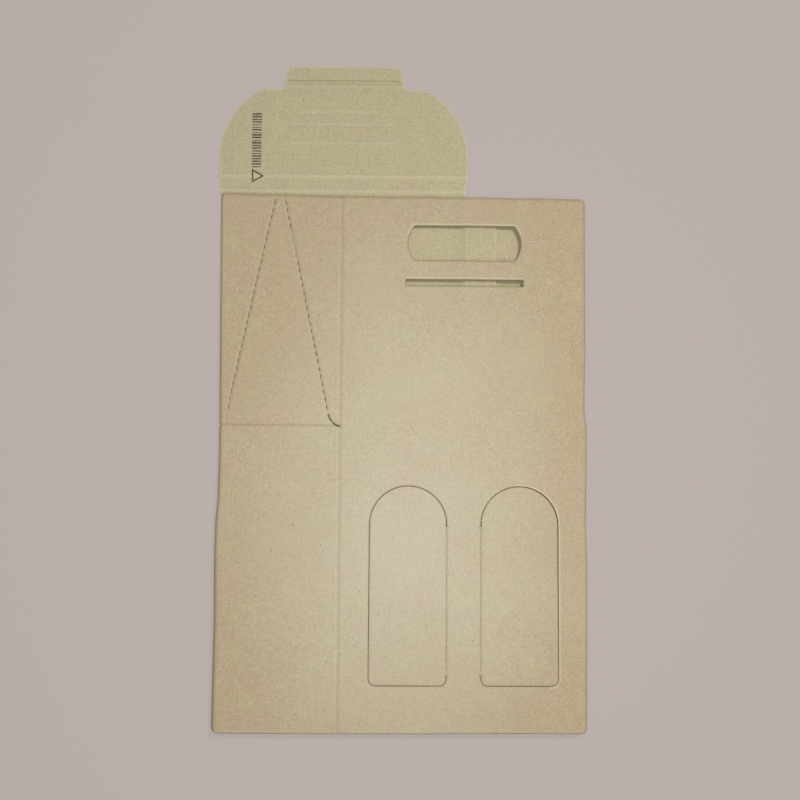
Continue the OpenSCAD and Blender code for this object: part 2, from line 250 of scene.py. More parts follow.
def fold_corner(u, v, w):
    """Folds over the slanting corner of each narrow bottom flap, outside to outside."""
    along = np.where(u < 0, -u, tube_reach(0) - u)
    narrow = ((u < 0) & (u > -fold_end)) | (u > tube_reach(0) - fold_end)
    past = (along + flap_up(v) - corner_line) / math.sqrt(2)
    turned = narrow & (v < bend_r - bend_length) & (past > 0)
    turn = np.clip(past / bend_mid, 0, math.pi)
    left = (bend_mid - w) * np.sin(turn) - np.clip(past - bend_length, 0, None)
    move = np.where(turned, (left - past) / math.sqrt(2), 0)
    lift = np.where(turned, bend_mid - (bend_mid - w) * np.cos(turn), w)
    return u - move, v - move, lift


def fold_up(flat):
    """Folds points of the flat blank, as across, up and out of its outside, into the glued box."""
    u, v, w = np.asarray(flat, float).T
    u, v, w = fold_corner(u, v, w)
    side = np.where(u < 0, -1, 1)
    away = np.abs(u)

    # The bottom fold, with its flaps or with the raw edge between them
    between = fold_end - flap_gap / 2
    raw_end = (away > between) & (away < tube_reach(0) - between)
    raw_end |= u > tube_reach(0) - right_free_side + 0.2
    bent = v < bend_r
    turn = np.clip((bend_r - v) / np.where(raw_end, bend_r / raw_bend, bend_mid), 0, math.pi)
    inside = np.clip(bend_r - v - bend_length, 0, None)
    up = np.where(bent, bend_r - (bend_mid + w) * np.sin(turn) + inside, v)
    out = np.where(bent, (bend_mid + w) * np.cos(turn) - bend_mid, w)

    # The side folds, which end in rounded corners
    start = fold_start(v)
    angle = math.pi * np.clip((away - start) / (tube_reach(v) - 2 * start), 0, 1)
    angle = np.where(v > panel_h, math.pi, angle)
    flat_x = np.where(angle < math.pi, np.minimum(away, start), tube_reach(v) - away)
    radius = half_w - fold_start(up)
    level = radius - board_t / 2 + out
    bulge = level * np.sin(angle)
    for end, reach in ((up, corner_r), (panel_h - up, np.where(side < 0, top_left_r, top_right_r))):
        rounding = reach - np.sqrt(np.clip(reach ** 2 - np.clip(reach - end, 0, None) ** 2, 0, None))
        bulge *= 1 - rounding / radius * (v < panel_h + 0.1)
    x = side * (flat_x + bulge)
    z = radius + level * np.cos(angle)

    # The glue flap's step, then the swell, the slip and the bow of the front layer
    glued = (side < 0) & (angle == math.pi)
    lifted = board_t * ease((x - flap_x) / glue_ramp + 1)
    lifted *= ease((spine_crease - v) / (spine_crease - panel_h))
    z = z + glued * lifted
    front = (1 + np.cos(angle)) / 2
    z = z + (angle < math.pi / 2) * (swell(x, up) - sag(x, up))
    bow = np.where(x < 0, np.interp(up, *left_bow), np.interp(up, *right_bow))
    slip = ease((up - 230) / 150) * np.interp(x, slip_x, top_slip)
    slip = slip + ease((60 - up) / 60) * np.interp(x, slip_x, bottom_slip)
    # The knife left the top edge faintly wavy
    slip = slip + 0.12 * np.sin(x / 7.5) * ease((up - 380) / 8)
    x = x + ease((np.abs(x) - half_w + bow_reach) / bow_reach) * (v < panel_h) * bow
    return np.column_stack([x + middle_x, up + front * slip + bottom_y, z]) * mm


# Paths on the blank. They are lists of points, and closed ones don't repeat the first point.
def arc(middle, radius, start, end, step=1.2):
    """Points of an arc between two angles in degrees, at most step millimetres apart."""
    count = max(3, math.ceil(abs(math.radians(end - start)) * radius / step))
    angles = np.radians(np.linspace(start, end, count + 1))
    return [(middle[0] + radius * math.cos(a), middle[1] + radius * math.sin(a)) for a in angles]


def spread(path, step, closed):
    """A path with points put in, so that no two neighbours lie further apart than step."""
    ends = list(path[1:]) + ([path[0]] if closed else [])
    points = []
    for a, b in zip(path, ends):
        count = max(1, math.ceil(math.dist(a, b) / step))
        points += [(a[0] + (b[0] - a[0]) * i / count, a[1] + (b[1] - a[1]) * i / count)
                   for i in range(count)]
    return np.array(points if closed else points + [path[-1]])


def sideways(path, closed):
    """For each point of a path, the step that moves it one millimetre to the left, mitred."""
    before = path - np.roll(path, 1, 0)
    after = np.roll(path, -1, 0) - path
    if not closed:
        before[0], after[-1] = after[0], before[-1]
    lengths = [np.maximum(np.linalg.norm(d, axis=1), 1e-9)[:, None] for d in (before, after)]
    before, after = (np.column_stack([-d[:, 1], d[:, 0]]) / length
                     for d, length in zip((before, after), lengths))
    return (before + after) / np.maximum(1 + (before * after).sum(1), 0.5)[:, None]


def within(points, loops):
    """Which points lie on the board, that is inside an odd number of the closed loops."""
    inside = np.zeros(len(points), bool)
    for loop in loops:
        a, b = loop, np.roll(loop, -1, 0)
        rise = np.where(a[:, 1] == b[:, 1], 1, b[:, 1] - a[:, 1])
        near = np.flatnonzero(((points > loop.min(0)) & (points < loop.max(0))).all(1))
        for part in np.array_split(near, len(near) // 2000 + 1):
            x, y = points[part, 0, None], points[part, 1, None]
            spans = (a[:, 1] > y) != (b[:, 1] > y)
            crossings = spans & (x < a[:, 0] + (y - a[:, 1]) * (b[:, 0] - a[:, 0]) / rise)
            inside[part] ^= crossings.sum(1) % 2 == 1
    return inside


def distance(points, path, closed):
    """Distance from each point to a path; beyond 5 mm it is only told as 5."""
    reach = 5.0
    result = np.full(len(points), reach)
    low, high = path.min(0) - reach, path.max(0) + reach
    near = np.flatnonzero(((points > low) & (points < high)).all(1))
    a = path if closed else path[:-1]
    d = (np.roll(path, -1, 0) if closed else path[1:]) - a
    for part in np.array_split(near, len(near) // 2000 + 1):
        if len(part):
            p = points[part][:, None]
            share = np.clip(((p - a) * d).sum(2) / np.maximum((d * d).sum(1), 1e-9), 0, 1)
            result[part] = np.linalg.norm(p - a - share[..., None] * d, axis=2).min(1)
    return np.minimum(result, reach)


# Knife cuts and creases of the blank. A knife presses both liners down along its cut, and a crease
# is a groove that throws up a bead along each of its sides. The strip over a crease that turns is a
# piece of its own, which overlaps its neighbours by a hair, so that no seam shows.
hinge_half = 2.2
seam_overlap = 0.04
strip_half = hinge_half + seam_overlap
kerf = 0.3
window_kerf = 0.4
front_mid = 45.7
back_mid, lid_half = (back_crease - half_w) / 2, 92.5


def hand_hole(middle):
    """Outline of a hand hole round a point: flat above and below, with round ends."""
    length, height, bulge = 83.2, 26, 4.7
    radius = (height ** 2 / 4 + bulge ** 2) / (2 * bulge)
    span = math.degrees(math.asin(height / 2 / radius))
    offset = length / 2 - radius
    return (arc((middle[0] + offset, middle[1]), radius, -span, span)
            + arc((middle[0] - offset, middle[1]), radius, 180 - span, 180 + span))


hole_top, hole_half = 21.7, 13
hole_y = panel_h - hole_top - hole_half
front_hole = hand_hole((front_mid, hole_y))
back_hole = on_back(spread(hand_hole((back_mid, hole_y)), 4, True))

slot_w, slot_h, slot_y = 86.5, 4.8, panel_h - 64.2
tuck_slot = [(front_mid + i * slot_w / 2, slot_y + j * slot_h / 2) for i, j in corners]

window_w, window_base, window_top, window_corner_r = 56, 33.6, 176.2, 5
hinge_low, hinge_high = 41, 147
window_hinges = {"left": (blank_place(joints["left_window_fold"]["pos_m"]).x, -1),
                 "right": (blank_place(joints["right_window_fold"]["pos_m"]).x, 1)}


def window_cut(margin=0):
    """The cut of a window flap, from the foot of its hinge round to the top, hinge at the left."""
    spring = window_top - window_w / 2
    r = window_corner_r
    return ([(-margin, hinge_low)]
            + arc((r, window_base + r), r + margin, 180, 270)
            + arc((window_w - r, window_base + r), r + margin, -90, 0)
            + arc((window_w / 2, spring), window_w / 2 + margin, 0, 180)
            + [(-margin, hinge_high)])


def at_hinge(path, hinge):
    """Moves a path from the left edge of a window to its real hinge, mirrored if the flap opens so."""
    x, side = hinge
    return [(x + side * px, py) for px, py in path]


# A perforated line runs from the top of a side panel, beside its middle, down and out to the gusset
left_side_mid, right_side_mid = -90.7, 91.35
gusset_y = panel_h - 170.4
slit_top, slit_foot = np.array([2.9, panel_h]), np.array([36.75, panel_h - 159.5])
slit_line = (slit_foot - slit_top) / np.linalg.norm(slit_foot - slit_top)
slit_l, slit_pitch, foot_cut_r, foot_sweep = 3, 5.7, 11.5, 28
open_half, shut_half = 0.25, 0.1
slit_spots = [slit_foot - slit_line * (i + 0.5) * slit_pitch
              for i in range(int(np.linalg.norm(slit_foot - slit_top) / slit_pitch))]


def gusset_cuts(middle, half):
    """The slits of a side panel's two perforated lines, each with its two curved cuts at the foot."""
    across = np.array([-slit_line[1], slit_line[0]])
    tip, body = slit_l / 2, slit_l / 2 - half
    slit = ((-tip, 0), (-body, -half), (body, -half), (tip, 0), (body, half), (-body, half))
    shapes = [[spot + slit_line * a + across * b for a, b in slit] for spot in slit_spots]
    pivot = slit_foot + slit_line * (slit_pitch - slit_l) + across * foot_cut_r
    lean = math.degrees(math.atan2(slit_line[1], slit_line[0])) - 90
    for start in (lean, lean + 1.2 * foot_sweep):
        shapes.append(arc(pivot, foot_cut_r - half, start, start + foot_sweep)
                      + arc(pivot, foot_cut_r + half, start + foot_sweep, start))
    return [[(middle + side * x, y) for x, y in shape] for shape in shapes for side in (-1, 1)]


# The left panel's slits have opened. The last four shapes of each panel are its curved foot cuts
left_slits = gusset_cuts(left_side_mid, open_half)
right_slits = [[(under(x, y, 1), y) for x, y in shape if x > flap_x + 1]
               for shape in gusset_cuts(right_side_mid, shut_half)]


foot_overhang = 1.3


def lid_edge(up, side):
    """How far the lid and its spine reach sideways at a height; the spine widens up to the lid."""
    flare = min(max((up - spine_crease) / (lid_crease - spine_crease), 0), 1)
    narrow = {-1: -half_w - foot_overhang, 1: back_crease}[side]
    return narrow + flare * (back_mid + side * lid_half - narrow)


def soften(path, size):
    """Rounds the middle one of three points, over size millimetres on each side of it."""
    a, b, c = map(Vector, path)
    a, c = b + (a - b).normalized() * size, b + (c - b).normalized() * size
    return [tuple(a.lerp(b, t).lerp(b.lerp(c, t), t)) for t in (0, 0.25, 0.5, 0.75, 1)]


# The lid's free edge: straight sides, round corners, shoulders and a tuck tab with round corners
lid_side_top, lid_corner_r, shoulder_y = lid_crease + 13.2, 60, lid_crease + 65.4
tab_half, tab_taper, tab_top, tab_corner_r = 44.55, 1.5, blank_place(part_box("tuck_tab")[1]).y, 5
shoulder_angle = math.degrees(math.asin((shoulder_y - lid_side_top) / lid_corner_r))
neck_spread = {-1: 1.8, 1: 4.0}


def neck_edge(up, side):
    """Edge of the short neck under the tab at a height, which spreads to the shoulder in a small curve."""
    left = np.clip((tab_crease - up) / (tab_crease - shoulder_y), 0, 1)
    return back_mid + side * (tab_half + neck_spread[side] * left ** 3)


def lid_shoulder(side):
    """The lid's side and round corner, its shoulder and the tab's neck, from the bottom up."""
    centre_x = back_mid + side * (lid_half - lid_corner_r)
    turn = arc((0, 0), lid_corner_r, 0, shoulder_angle, 2)
    round_edge = [(centre_x + side * x, lid_side_top + y) for x, y in turn]
    corner = soften([round_edge[-3], round_edge[-1], (back_mid, shoulder_y)], 4)
    neck = (shoulder_y, shoulder_y + 0.3, shoulder_y + 0.7, tab_crease - hinge_half)
    return round_edge[:-3] + corner + [(neck_edge(y, side), y) for y in neck]


def tab_side(side):
    """One side of the tab from its foot to its rounded corner."""
    foot, top = back_mid + side * tab_half, back_mid + side * (tab_half - tab_taper)
    r = tab_corner_r
    corner = [(top + side * (x - r), tab_top - r + y) for x, y in arc((0, 0), r, 0, 90, 1)]
    return [(foot, tab_crease + hinge_half)] + corner


def through_bend(path):
    """A closed path with points put in wherever it crosses the bend of the bottom flaps."""
    points = []
    for a, b in zip(path, path[1:] + path[:1]):
        low, high = sorted((a[1], b[1]))
        crossed = [y for y in bend_heights if low + 0.1 < y < high - 0.1]
        points += [a] + [(a[0] + (b[0] - a[0]) * (y - a[1]) / (b[1] - a[1]), y)
                         for y in sorted(crossed, reverse=b[1] < a[1])]
    return points


def tube_edge():
    """Outline of the part of the blank that makes the tube and its bottom flaps, anticlockwise."""
    hook_h, hook_set, glued_h, narrow_h, slant, cut = 66, 14, 48, 44, 6, (5, 8)
    notch, taper, inset, raw = 0.15, 8, 2, 0.4 * bend_r

    def wide_flap(free, middle, side):
        """A wide bottom flap, from its hook's free side to the side fold."""
        shape = [(free, bend_r), (free + side * slant, hook_h), (middle - side * hook_set, hook_h),
                 (middle, glued_h), (side * (flap_end - cut[0]), glued_h),
                 (side * flap_end, glued_h - cut[1]), (side * flap_end, bend_r)]
        return [(free, bend_r), *[(x, flap_up(y)) for x, y in shape], (side * flap_end, bend_r),
                (side * fold_end, bend_r), (side * fold_end, 0)]

    def narrow_flap(free, side):
        """A narrow bottom flap, whose corner folds over, from the side fold to its free side."""
        shape = [(flap_end, bend_r), (flap_end - inset, bend_r + inset), (flap_end - inset, narrow_h),
                 (side * free + slant, narrow_h), (side * free, narrow_h / 2), (side * free, bend_r)]
        return [(side * fold_end, 0), (side * fold_end, bend_r), (side * flap_end, bend_r),
                *[(side * x, flap_up(y)) for x, y in shape], (free, bend_r)]

    strip = spine_crease - hinge_half
    glue_flap = [(glue_edge, panel_h - taper), (glue_edge, bend_r + taper), (flap_x, bend_r)]
    back_flap = wide_flap(back_crease - glue_step / 2 - notch, back_mid, -1)
    left_flap = narrow_flap(front_crease - notch, -1)
    front_flap = wide_flap(front_crease + notch, front_mid, 1)
    free = right_free_side
    right_flap = narrow_flap(free, 1) + [(free - 1, bend_r), (free - 1, raw), (flap_x + kerf, raw),
                                         (flap_x + kerf, panel_h)]
    top = [(-fold_start(panel_h), panel_h), (-half_w, panel_h + inset), (-half_w, strip),
           (back_crease, strip), (back_crease, panel_h), (flap_x, panel_h)]
    return through_bend(on_back(glue_flap + back_flap) + left_flap + front_flap
                        + [(under(x, v, 1), v) for x, v in right_flap] + on_back(top))


def lid_band(low, high):
    """Outline of a strip right across the lid between two heights, anticlockwise once folded."""
    heights = [low, *[y for y in (spine_crease, lid_crease) if low < y < high], high]
    return ([(lid_edge(y, -1), y) for y in reversed(heights)] + [(lid_edge(y, 1), y) for y in heights])


tube = tube_edge()
spine = lid_band(spine_crease + hinge_half, lid_crease - hinge_half)
right_edge, left_edge = lid_shoulder(1), lid_shoulder(-1)
lid = ([(back_mid - lid_half, lid_crease + hinge_half), (back_mid + lid_half, lid_crease + hinge_half)]
       + right_edge + left_edge[::-1])
tab = tab_side(1) + tab_side(-1)[::-1]
neck_heights = [tab_crease + j for j in (-strip_half, -1.2, 0)]
tab_feet = [(x, tab_crease + strip_half) for x in (tab[0][0], tab[-1][0])]
tab_strip = ([(neck_edge(y, 1), y) for y in neck_heights] + tab_feet
             + [(neck_edge(y, -1), y) for y in reversed(neck_heights)])

# Every knife cut: its path on the blank, whether it is closed, how deep the knife pressed the board down
# beside it, how pale it is painted outside and inside, and how wide. A pale rim is partly pressed paper and
# partly a painted highlight; a negative one is painted shade of the open cut.
lid_foot = (spine_crease - hinge_half, spine_crease, lid_crease)
lid_free_edge = [(lid_edge(y, 1), y) for y in lid_foot] + right_edge + tab_strip[1:3] + tab
lid_free_edge += tab_strip[-3:-1] + left_edge[::-1] + [(lid_edge(y, -1), y) for y in reversed(lid_foot)]
strip_top = tube.index((under(-half_w, spine_crease - hinge_half), spine_crease - hinge_half))
knife_cuts = [(tube[strip_top + 1:] + tube[:strip_top + 1], False, 0.14, 0, 0.1, 1.5),
              (on_back(lid_free_edge), False, 0.14, 0.3, 0.35, 0.9)]
# Painted shade round the hand holes and the slot, where their open edges throw shade
knife_cuts += [(path, True, 0.2, -0.8, -0.1, 0.6) for path in (front_hole, back_hole, tuck_slot)]
# Painted shade along the window cuts
knife_cuts += [(at_hinge(window_cut(), hinge), False, 0.16, -0.6, 0, 0.6)
               for hinge in window_hinges.values()]
# The two left ones of the left panel's foot cuts show pale torn paper
dark_slits, pale_slits = left_slits[:-4] + left_slits[-3::2] + right_slits, left_slits[-4::2]
# Painted shade round the slits
knife_cuts += [(shape, True, 0.2, tint, 0, 0.6)
               for shapes, tint in ((dark_slits, -0.9), (pale_slits, 0.5)) for shape in shapes]
knife_cuts = [(spread(path, 3, closed), closed, *rest) for path, closed, *rest in knife_cuts]

# Every crease: its line, its half width, then how deep its groove is, how high its beads are and how pale it
# is painted, outside and inside. A negative groove is a ridge, a negative paleness is painted shade in the
# groove, and a positive one is a painted highlight. The last three are marks pressed into the lid.
side_reach = tube_reach(gusset_y) / 2
mark = (-37, 36)


def upright(x, low=bend_r, high=panel_h):
    """A line straight up the blank."""
    return [(x, low), (x, high)]


def level_line(up, left, right, middle=back_mid):
    """A level line across the back or the lid, on the blank, whose ends lie so far from a middle."""
    return on_back([(middle + left, up), (middle + right, up)])


smooth = (0, 0, 0)
side_groove = (0.35, 0.1, -0.35)
creases = [
    (upright(front_crease), 1.2, (0.4, 0.1, -0.15), (-0.12, 0, 0)),
    ([(-side_reach, gusset_y), (front_crease, gusset_y)], 0.8, side_groove, (-0.10, 0, 0)),
    ([(side_reach, gusset_y), (under(flap_x + kerf, gusset_y, 1), gusset_y)], 0.8, side_groove, smooth),
    (level_line(spine_crease, -half_w, back_crease, 0), 1.5, smooth, (0.3, 0.1, 0.25)),
    (level_line(lid_crease - 0.5, -lid_half, lid_half), 1.6, smooth, (0.5, 0.15, 0.25)),
    (level_line(tab_crease - 0.6, -tab_half, tab_half), 1.25, smooth, (0.5, 0.4, 0.1)),
    (level_line(lid_crease + 38.5, *mark), 1.1, smooth, (-0.5, 0, 0.2)),
    (level_line(lid_crease + 25, *mark), 1.4, smooth, (0.5, 0, 0.15)),
    (level_line(lid_crease + 48.1, mark[0] + 6, mark[1] - 14), 1.2, smooth, (-0.25, 0, 0.15))]
creases += [(upright(x, hinge_low, hinge_high), 0.8, (0.2, 0.1, -0.5), smooth)
            for x, side in window_hinges.values()]
creases += [([(left_side_mid + side * x, y) for x, y in (slit_top, slit_foot)],
             1.2, (0.15, 0.06, -0.1), smooth) for side in (-1, 1)]

# Painted lines without relief: painted highlights beside the glue flap's fold and its edge inside, above the
# hand hole and the slot, round the pushed-in window, along the left side fold, where they offset the fold's
# own shade, along the bottom fold, and a short one left of each slit of the left panel; and painted darker
# along the right side fold and the open top
# Painted highlights along the glue flap's fold and edge
creases += [(on_back(upright(x)), 0.5, smooth, (0, 0, tint))
            for x, tint in ((43.9, 0.12), (47.5, 0.15), (glue_edge - 0.3, 0.12))]
# A painted highlight above the hand hole and the slot
rim = spread(front_hole, 2, True)
rim -= sideways(rim, True) * 1.2
above_slot = [(x, tuck_slot[2][1] + 1.1) for x in (tuck_slot[0][0], tuck_slot[1][0])]
creases += [(line, 0.6, (0, 0, 0.6), smooth) for line in (rim[rim[:, 1] > hole_y + 7], above_slot)]
# A painted highlight round the right window's free side
rim = [(x, y) for x, y in window_cut(0.95) if x > 6 and (y < window_base or x > window_w * 0.45)]
creases += [(at_hinge(rim, window_hinges["right"]), 0.55, (0, 0, 0.7), smooth)]
heights = np.linspace(4, panel_h, 40)
# The left side fold is painted pale against its own shade; the right one is painted darker
creases += [(np.column_stack([side * tube_reach(heights) / 2, heights]), width, (0, 0, tint), smooth)
            for side, width, tint in ((-1, 1.9, 0.35), (1, 2.6, -0.45))]
# A painted highlight along the bottom fold; painted darker along the open top
creases += [([(-fold_end, up), (fold_end, up)], width, (0, 0, tint), smooth)
            for up, width, tint in ((1.6, 0.5, 0.12), (panel_h, 1.9, -0.6))]
slit_highlight_half, slit_highlight_shift = 1.4, 0.8
# Painted highlights left of each slit, where its lit wall would catch the light
for side, tint in ((-1, 1), (1, 0.5)):
    for x, y in slit_spots:
        line = [(left_side_mid + side * (x + j * slit_line[0]) - slit_highlight_shift, y + j * slit_line[1])
                for j in (-slit_highlight_half, slit_highlight_half)]
        creases.append((line, 0.5, (0, 0, tint), smooth))
creases = [(spread(list(map(tuple, line)), 4, False), *rest) for line, *rest in creases]


# How far from a cut the board is pressed down and how much of that its inside shows; where a crease's
# bead stands, in half widths of its groove, and the bead's own half width
press_reach, inside_share, bead_place, bead_half = 0.9, 0.7, 2.1, 0.9


def relief(points):
    """How far each liner stands out or lies in at points of the blank, then how pale or dark it is painted
    there.
    """
    pressed = np.zeros(len(points))
    tints = np.zeros((2, len(points)))
    for path, closed, depth, *tint, width in knife_cuts:
        d = distance(points, path, closed)
        pressed = np.maximum(pressed, depth * np.exp(-(d / press_reach) ** 2))
        for liner in (0, 1):
            tints[liner] += tint[liner] * np.exp(-(d / width) ** 2)
    shapes = [-pressed, -inside_share * pressed]
    for line, width, *liners in creases:
        d = distance(points, line, False)
        for liner, (groove, bead, tint) in enumerate(liners):
            beside = np.exp(-((d - bead_place * width) / bead_half) ** 2)
            shapes[liner] += bead * beside - groove * np.exp(-(d / width) ** 2)
            tints[liner] += tint * np.exp(-(d / min(width, 2.6)) ** 2 * 1.6)
    return *shapes, *np.clip(tints, -1, 1)


# Guide lines that the mesh follows, so that rims, creases and folds are smooth; short lines need none
crease_offsets = (0, 0.45, 0.9, 1.4, 2, 2.7, 3.4, 4.2)
rim_offsets = (0.4, 0.9, 1.6)
guides = []
for path, closed, *rest in knife_cuts:
    steps = sideways(path, closed)
    offsets = rim_offsets[:2] if len(path) < 12 else rim_offsets
    guides += [(path + steps * side * offset, closed) for offset in offsets for side in (-1, 1)]
for line, width, *rest in creases:
    if len(line) < 3:
        continue
    steps = sideways(line, False)
    offsets = crease_offsets if width > 1 else crease_offsets[:4]
    guides += [(line + steps * side * offset, False) for offset in offsets
               for side in ((1, -1) if offset else (1,))]
heights = np.linspace(0, panel_h, 90)
for share in np.linspace(0, 1, 14):
    reach = fold_start(heights) + share * (tube_reach(heights) - 2 * fold_start(heights))
    guides += [(np.column_stack([side * reach, heights]), False) for side in (-1, 1)]
flap_bends = ((-flap_end, front_crease - 0.3), (front_crease + 0.3, flap_end),
              (under(back_crease - 2, 0), under(-flap_end, 0)),
              (under(flap_end, 0, 1), under(right_free_side, 0, 1)))
fold_feet = ((under(-fold_end, 0), -fold_end), (fold_end, under(fold_end, 0, 1)))
for ups, spans, step in ((bend_heights, flap_bends, 2), ((0.4, 0.8, 1.2, bend_r), fold_feet, 1)):
    guides += [(spread([(start + 0.3, up), (end - 0.3, up)], step, False), False)
               for up in ups for start, end in spans]
diagonal = 0.7071
for middle in (0, tube_reach(0)):
    for offset in np.linspace(0, bend_length, 7) * diagonal:
        line = [(middle + (-x - offset), flap_up(y) - offset)
                for x, y in ((flap_end - 1, bend_r + 1), (flap_end - 42.4, 44))]
        guides.append((spread(line, 5, False), False))


def triangulate(loops, spacing):
    """Triangles that fill the board between the loops and follow the guide lines."""
    points, edges = [], []
    rim_gap, row_share, least_share, same_spot = 0.2, 0.87, 0.6, 1e-4

    def draw(path, closed, kept):
        """Adds the kept points of a path, and an edge between each two that are neighbours."""
        index = np.cumsum(kept) - 1 + len(points)
        points.extend(map(tuple, path[kept]))
        for i in range(len(path) if closed else len(path) - 1):
            j = (i + 1) % len(path)
            if kept[i] and kept[j]:
                edges.append((int(index[i]), int(index[j])))

    def from_rim(spots):
        return np.minimum.reduce([distance(spots, loop, True) for loop in loops])

    low, high = loops[0].min(0), loops[0].max(0)
    for loop in loops:
        draw(loop, True, np.ones(len(loop), bool))
    for path, closed in guides:
        near = ((path > low) & (path < high)).all(1)
        if near.any():
            draw(path, closed, near & within(path, loops) & (from_rim(path) > rim_gap))
    tree = kdtree.KDTree(len(points))
    for i, point in enumerate(points):
        tree.insert((*point, 0), i)
    tree.balance()
    # Even triangles between the guides
    rows = np.arange(low[1], high[1], spacing * row_share)
    grid = np.array([(x + spacing / 2 * (i % 2), y) for i, y in enumerate(rows)
                     for x in np.arange(low[0], high[0], spacing)])
    grid = grid[within(grid, loops)]
    points.extend(tuple(p) for p in grid if tree.find((*p, 0))[2] > spacing * least_share)

    found = geometry.delaunay_2d_cdt([Vector(p) for p in points], edges, [], 0, same_spot)
    flat = np.array([tuple(v) for v in found[0]])
    triangles = np.array(found[2])
    triangles = triangles[within(flat[triangles].mean(1), loops)]
    # Slivers between the points of one straight edge would tear the rim
    a, b, c = flat[triangles].transpose(1, 0, 2)
    longest = np.maximum.reduce([((p - q) ** 2).sum(1) for p, q in ((a, b), (b, c), (c, a))])
    thin = np.abs((b - a)[:, 0] * (c - a)[:, 1] - (b - a)[:, 1] * (c - a)[:, 0]) < 0.004 * longest
    thin[thin] = from_rim((a + b + c)[thin] / 3) < 0.05
    triangles = triangles[~thin]
    used, triangles = np.unique(triangles, return_inverse=True)
    return flat[used], triangles.reshape(-1, 3)


def rim_loops(triangles):
    """The mesh's free edges as ordered rings of points, with the board on their left."""
    edges = {(int(a), int(b)) for t in triangles for a, b in ((t[0], t[1]), (t[1], t[2]), (t[2], t[0]))}
    after = {a: b for a, b in edges if (b, a) not in edges}
    rings = []
    while after:
        ring = [next(iter(after))]
        while ring[-1] in after:
            ring.append(after.pop(ring[-1]))
        rings.append(ring[:-1])
    return rings


# Kraft liners: recycled brown paper, matt and fibrous. The outside is greyer and warmer than the inside.
# The flutes show through as faint upright stripes, the washboard of cheap board.
flute_pitch = 3.4


def calc(tree, operation, a, b=0.0, c=0.0):
    """A math node's result."""
    return put(tree, "ShaderNodeMath", {0: a, 1: b, 2: c}, operation=operation).outputs[0]


def mix_colour(tree, amount, low, high):
    """A colour between two colours."""
    names = {"Factor_Float": amount, "A_Color": low, "B_Color": high}
    node = tree.nodes.new("ShaderNodeMix")
    node.data_type = "RGBA"
    for socket in node.inputs:
        value = names.get(socket.identifier)
        if isinstance(value, bpy.types.NodeSocket):
            tree.links.new(value, socket)
        elif value is not None:
            socket.default_value = value
    return next(socket for socket in node.outputs if socket.identifier == "Result_Color")


def share_of(tree, value, low, high):
    """Turns a value between two limits into a share from 0 to 1."""
    return put(tree, "ShaderNodeMapRange", {"Value": value, "From Min": low, "From Max": high})


def print_mask(tree, axes):
    """Where the lid is printed: a plain block of bars and under it a ring with three sides."""
    bars_x, bars_y, bar_step, ring_x, ring_y = (-112.8, -105.8), (412.0, 453.6), 2.0, -109.6, 405.7
    x = calc(tree, "SUBTRACT", axes["X"], middle_x)
    y = calc(tree, "SUBTRACT", axes["Y"], bottom_y)
    bar = calc(tree, "DIVIDE", y, bar_step)
    thick = put(tree, "ShaderNodeTexWhiteNoise", {"W": calc(tree, "FLOOR", bar)}, noise_dimensions="1D")
    thick = calc(tree, "MULTIPLY_ADD", thick.outputs["Value"], 0.45, 0.3)
    bars = calc(tree, "LESS_THAN", calc(tree, "FRACT", bar), thick)
    for value, (low, high) in ((x, bars_x), (y, bars_y)):
        bars = calc(tree, "MULTIPLY", bars, calc(tree, "GREATER_THAN", value, low))
        bars = calc(tree, "MULTIPLY", bars, calc(tree, "LESS_THAN", value, high))
    from_x, from_y = calc(tree, "SUBTRACT", x, ring_x), calc(tree, "SUBTRACT", y, ring_y)
    sides = []
    for turn in map(math.radians, (60, 180, 300)):
        far = calc(tree, "MULTIPLY", from_x, math.cos(turn))
        sides.append(calc(tree, "MULTIPLY_ADD", from_y, math.sin(turn), far))
    reach = calc(tree, "MAXIMUM", calc(tree, "MAXIMUM", sides[0], sides[1]), sides[2])
    return calc(tree, "MAXIMUM", bars, calc(tree, "COMPARE", reach, 2.5, 0.6))


